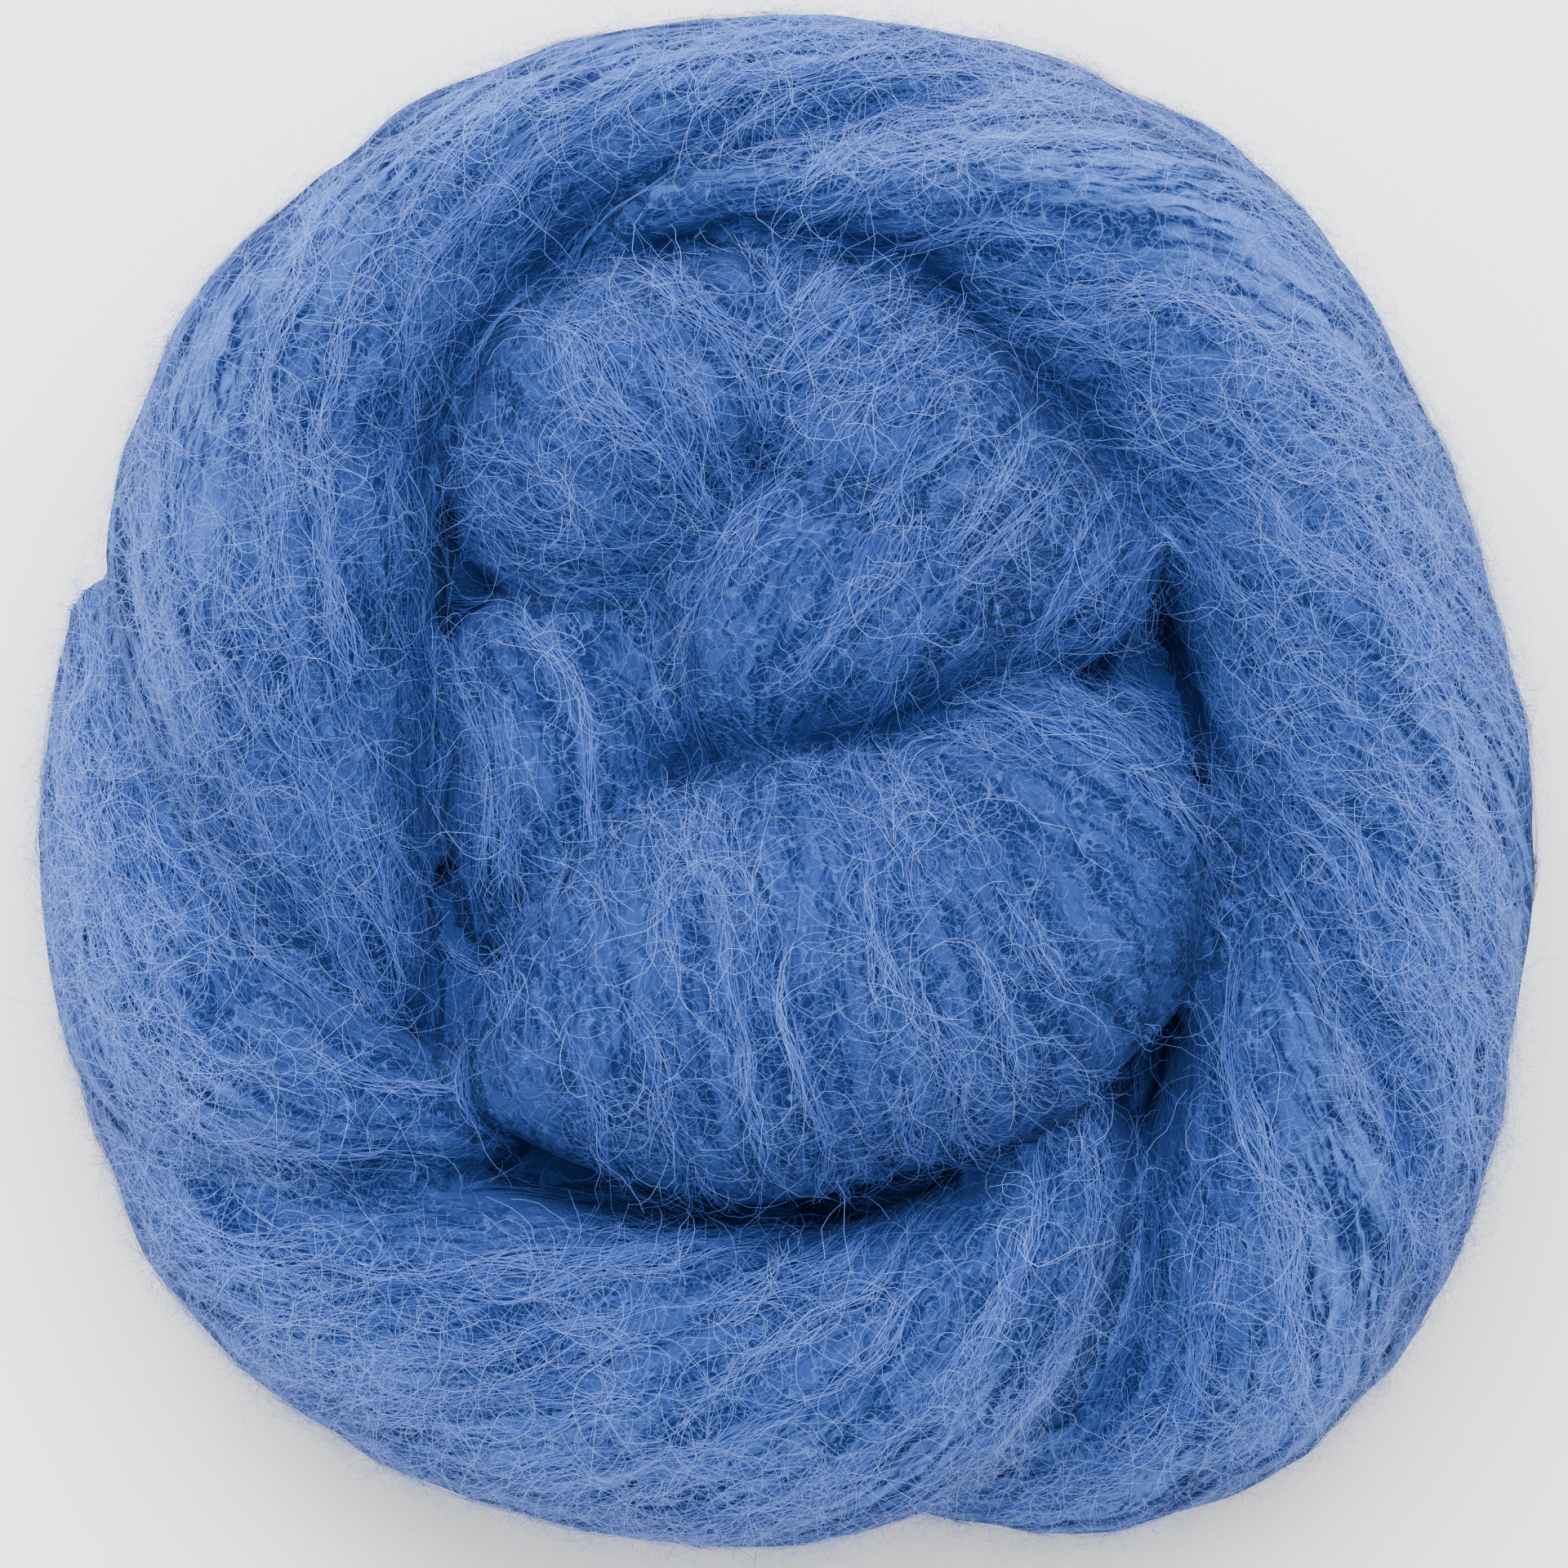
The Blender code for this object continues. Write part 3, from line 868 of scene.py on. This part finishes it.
strand_material, shader, new, join = start_material("brushed strand", roughness=0.95, specular=0.15)
tone = new("ShaderNodeAttribute")
tone.attribute_name = "tone"
coords = new("ShaderNodeTexCoord")
fibres = new("ShaderNodeTexNoise")
fibres.inputs["Scale"].default_value = 2200.0
fibres.inputs["Detail"].default_value = 2.0
patches = new("ShaderNodeTexNoise")
patches.inputs["Scale"].default_value = 160.0
patches.inputs["Detail"].default_value = 2.0
add_fibres = new("ShaderNodeMath")
add_fibres.operation = "MULTIPLY_ADD"
add_fibres.inputs[1].default_value = 0.80
add_patches = new("ShaderNodeMath")
add_patches.operation = "MULTIPLY_ADD"
add_patches.inputs[1].default_value = 1.6
spread = new("ShaderNodeMapRange")
spread.inputs["From Min"].default_value = 1.25
spread.inputs["From Max"].default_value = 2.4
tint = new("ShaderNodeMix")
tint.data_type = "RGBA"
tint.inputs[6].default_value = STRAND_DEEP
tint.inputs[7].default_value = STRAND_LIGHT
join(coords.outputs["Object"], fibres.inputs["Vector"])
join(coords.outputs["Object"], patches.inputs["Vector"])
join(tone.outputs["Fac"], add_fibres.inputs[0])
join(fibres.outputs["Fac"], add_fibres.inputs[2])
join(patches.outputs["Fac"], add_patches.inputs[0])
join(add_fibres.outputs["Value"], add_patches.inputs[2])
join(add_patches.outputs["Value"], spread.inputs["Value"])
join(spread.outputs["Result"], tint.inputs[0])
join(tint.outputs[2], shader.inputs["Base Color"])

fibre_ribbons = ribbon_tree()
for name, paths in zip(("strands_left", "strands_right"), strand_sets):
    half_strands = ribbons(name, paths, fibre_ribbons, strand_material)
    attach(half_strands, "root")

# The halo. Brushing has pulled fine springy hairs out of the strands. They mat the surface in
# small curls and loops, bridge the folds, and stand off the outline as a soft fuzz.
HAIR_COUNT = 30000
HAIR_SEGMENTS = 8
HAIR_LENGTH = (4.0, 11.0)  # mm
HAIR_THICKNESS = (0.012, 0.022)  # mm, half across
COMBED_SHARE = 0.6  # of the hairs still lie with their strand
COMBED_RADIUS = (3.0, 10.0)  # mm
CURL_RADIUS = (1.2, 4.5)  # mm
SHARPEST_TURN = 0.65  # radians between two steps of a curl
LONG_SHARE = 0.015  # of the hairs are long
LONG_TIMES = 2.5
COMBED_SPREAD = 0.25  # radians from the strand's direction
LOOSE_SPREAD = 1.1
BEND_DRIFT = 0.25  # radians for each mm
HAIR_LIFT = (0.25, 1.5)  # mm that a hair's middle stands off the strands
LOW_LIFTS = 2.5  # how much more common the low lifts are
ARCH = (0.08, 0.80)  # the part of half a wave that a hair rises and falls by: its start and length
LOWEST_HAIR = 0.1  # mm
TIP_WIDTH = 0.6  # of the root's
EVEN_CELL = 2.5  # mm, over which the hairs are spread evenly
HAIR_SHARE_BELOW = 0.2  # as thick underneath, where the skein rests, as on top
HAIRS_UPRIGHT = 0.6  # how thick on an upright side
HAIRS_UPWARDS = 1.5  # how soon that grows as the surface turns up
HAIRS_IN_FOLDS = 0.35  # as thick as on the open surface
HAIRS_MORE_OUTSIDE = 1.2  # added where the fuzz is full
HAIR_RIM_LIGHT_TONE = 0.6  # painted rim light: how much paler the hairs on the coil's outer side are painted
HAIR_FOLD_SHADE_TONE = 0.45  # share of the tone left in the folds, as painted shade
HAIR_SEED = 29
HAIR_PIECES = ("halo_left", "halo_middle", "halo_right")

random = np.random.default_rng(HAIR_SEED)
seen = np.clip(roots["out"][:, 2] * HAIRS_UPWARDS + HAIRS_UPRIGHT, 0, 1)
seen = HAIR_SHARE_BELOW + (1 - HAIR_SHARE_BELOW) * seen
open_hairs = HAIRS_IN_FOLDS + (1 - HAIRS_IN_FOLDS) * roots["brushed"]
seen *= open_hairs * (1.0 + HAIRS_MORE_OUTSIDE * roots["fuzz_and_rim_light"])
cells = np.floor(roots["point"] / EVEN_CELL).astype(int)
_, cell, crowd = np.unique(cells, axis=0, return_inverse=True, return_counts=True)
seen /= crowd[cell.ravel()]
picked = random.choice(len(seen), HAIR_COUNT, p=seen / seen.sum())
root = roots["point"][picked]
out = roots["out"][picked]
tangent = roots["along"][picked]
tangent -= out * np.sum(tangent * out, axis=1)[:, None]
tangent /= np.linalg.norm(tangent, axis=1)[:, None]
across = np.cross(out, tangent)
combed = random.uniform(0, 1, HAIR_COUNT) < COMBED_SHARE
heading = random.normal(0, 1, HAIR_COUNT) * np.where(combed, COMBED_SPREAD, LOOSE_SPREAD)
heading += np.pi * random.integers(0, 2, HAIR_COUNT)
longer = np.where(random.uniform(0, 1, HAIR_COUNT) < LONG_SHARE, LONG_TIMES, 1.0)
hair_step = random.uniform(*HAIR_LENGTH, HAIR_COUNT) * longer / HAIR_SEGMENTS
radius = random.uniform(*CURL_RADIUS, HAIR_COUNT)
radius[combed] = random.uniform(*COMBED_RADIUS, combed.sum())
bend = random.choice((-1, 1), HAIR_COUNT) / (radius * longer)
hair_step = np.minimum(hair_step, SHARPEST_TURN * radius * longer)
bend_drift = random.normal(0, BEND_DRIFT, (HAIR_SEGMENTS + 1, HAIR_COUNT))
lift_top = random.uniform(0, 1, HAIR_COUNT) ** LOW_LIFTS
lift_top = HAIR_LIFT[0] + (HAIR_LIFT[1] - HAIR_LIFT[0]) * lift_top
forward = np.zeros(HAIR_COUNT)
sideways = np.zeros(HAIR_COUNT)
hair_points = []
for step in range(HAIR_SEGMENTS + 1):
    share = step / HAIR_SEGMENTS
    lift = lift_top * math.sin(math.pi * (ARCH[0] + ARCH[1] * share))
    place = root + tangent * forward[:, None] + across * sideways[:, None]
    hair_points.append(place + out * lift[:, None])
    forward += np.cos(heading) * hair_step
    sideways += np.sin(heading) * hair_step
    heading += (bend + bend_drift[step]) * hair_step
hair_points = np.stack(hair_points, axis=1)
hair_points[..., 2] = np.maximum(hair_points[..., 2], LOWEST_HAIR)
halo_sets = [Paths() for _ in HAIR_PIECES]
# Painted light: the tone is made paler on the coil's outer shoulder, as painted rim light, and
# darker in the folds, as painted shade.
hair_tones = random.uniform(0, 1, HAIR_COUNT) ** 2 + HAIR_RIM_LIGHT_TONE * roots["fuzz_and_rim_light"][picked]
hair_tones *= HAIR_FOLD_SHADE_TONE + (1 - HAIR_FOLD_SHADE_TONE) * roots["brushed"][picked]
hair_widths = random.uniform(*HAIR_THICKNESS, HAIR_COUNT)
third = np.digitize(hair_points[:, 0, 0], np.quantile(hair_points[:, 0, 0], (1 / 3, 2 / 3)))
taper = np.linspace(1.0, TIP_WIDTH, HAIR_SEGMENTS + 1)
for k in range(HAIR_COUNT):
    tone = np.full(HAIR_SEGMENTS + 1, hair_tones[k])
    halo_sets[third[k]].add(hair_points[k], out[k], hair_widths[k] * taper, tone)

# The hairs' colour: each hair's own tone, which also carries painted rim light on the coil's outer
# side and painted shade in the folds.
HAIR_MID = (0.020, 0.052, 0.240, 1.0)
HAIR_PALE = (0.130, 0.228, 0.650, 1.0)

hair_material, shader, new, join = start_material("fine hair", roughness=0.7, specular=0.3)
tone = new("ShaderNodeAttribute")
tone.attribute_name = "tone"
tint = new("ShaderNodeMix")
tint.data_type = "RGBA"
tint.inputs[6].default_value = HAIR_MID
tint.inputs[7].default_value = HAIR_PALE
join(tone.outputs["Fac"], tint.inputs[0])
join(tint.outputs[2], shader.inputs["Base Color"])

for name, paths in zip(HAIR_PIECES, halo_sets):
    halo = ribbons(name, paths, fibre_ribbons, hair_material)
    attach(halo, "root")

# The studio. A plain white floor that fades into a white background, a broad soft light over the
# skein, and a weaker one from the upper left.
FLOOR_SIZE = 4.0

floor = mesh_object(
    "floor",
    np.array(((-1, -1, 0), (1, -1, 0), (1, 1, 0), (-1, 1, 0))) * FLOOR_SIZE / 2 / MM,
    faces=[(0, 1, 2, 3)],
)
floor_material, shader, new, join = start_material("white paper", roughness=0.9, specular=0.5)
shader.inputs["Base Color"].default_value = (0.9, 0.9, 0.9, 1.0)
floor.data.materials.append(floor_material)

for name, size, power, place in (
    ("overhead softbox", 0.9, 30.0, (0.05, 0.45, 1.05)),
    ("left softbox", 0.5, 11.0, (-0.5, 0.7, 0.7)),
):
    glow = bpy.data.lights.new(name, "AREA")
    glow.shape = "DISK"
    glow.size = size
    glow.energy = power
    lamp = bpy.data.objects.new(name, glow)
    lamp.location = place
    lamp.rotation_euler = (Vector((0, 0, 0.03)) - lamp.location).to_track_quat("-Z", "Y").to_euler()
    bpy.context.scene.collection.objects.link(lamp)

world = bpy.data.worlds.new("white studio")
bpy.context.scene.world = world
world.use_nodes = True
world.node_tree.nodes["Background"].inputs["Color"].default_value = (1.0, 1.0, 1.0, 1.0)
world.node_tree.nodes["Background"].inputs["Strength"].default_value = 1.5
